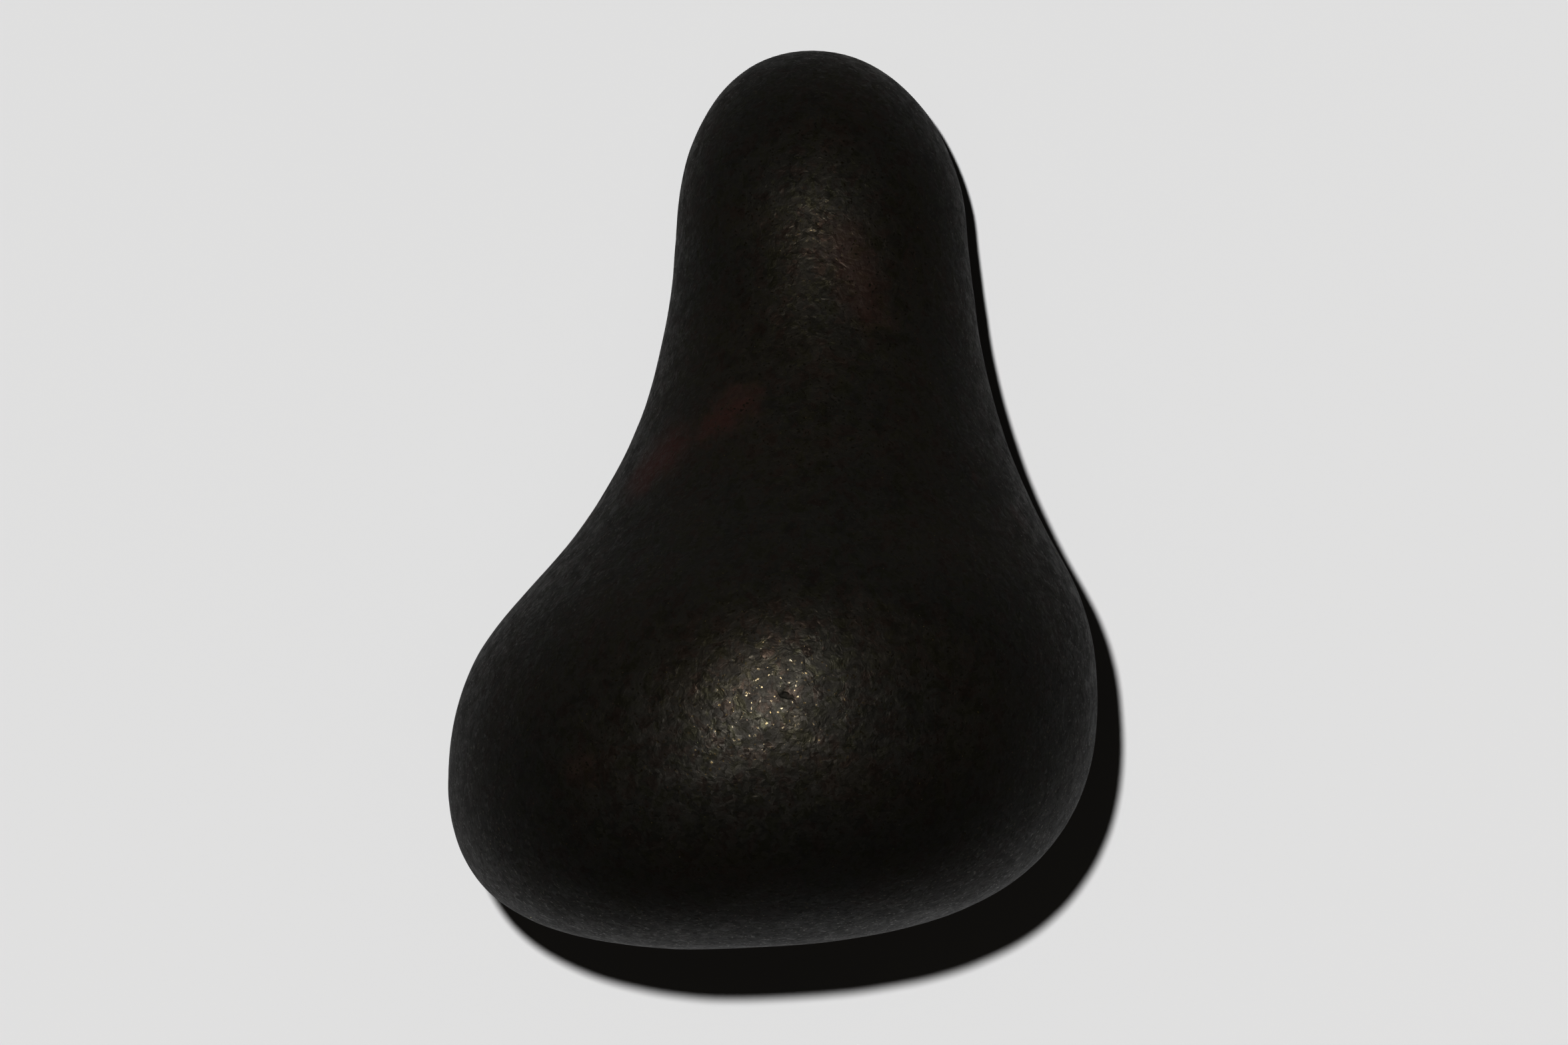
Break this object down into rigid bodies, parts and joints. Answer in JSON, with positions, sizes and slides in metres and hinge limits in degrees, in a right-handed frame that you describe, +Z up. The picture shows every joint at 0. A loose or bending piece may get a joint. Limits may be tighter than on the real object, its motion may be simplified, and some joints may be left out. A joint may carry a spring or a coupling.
{
  "type": "basalt massage stone",
  "caption": "Solid pear-shaped basalt massage stone with a domed base, a round belly and a rounded handle, lying on its side",
  "frame": {"origin": "middle of the stone's footprint, on the plane of the two honed patches that it rests on", "axes": "+Z up from the table, +Y along the stone from the domed base to the tip of the handle, +X to the right seen from above with the tip away"},
  "size_m": [0.0712, 0.0982, 0.0642],
  "materials": {
    "basalt": "near-black fine-grained basalt, rubbed smooth and lightly oiled to a satin sheen, with fine pits, mineral glints and a few rust-brown stains"
  },
  "bodies": {
    "root": {"stone_body": "basalt"}
  },
  "joints": []
}
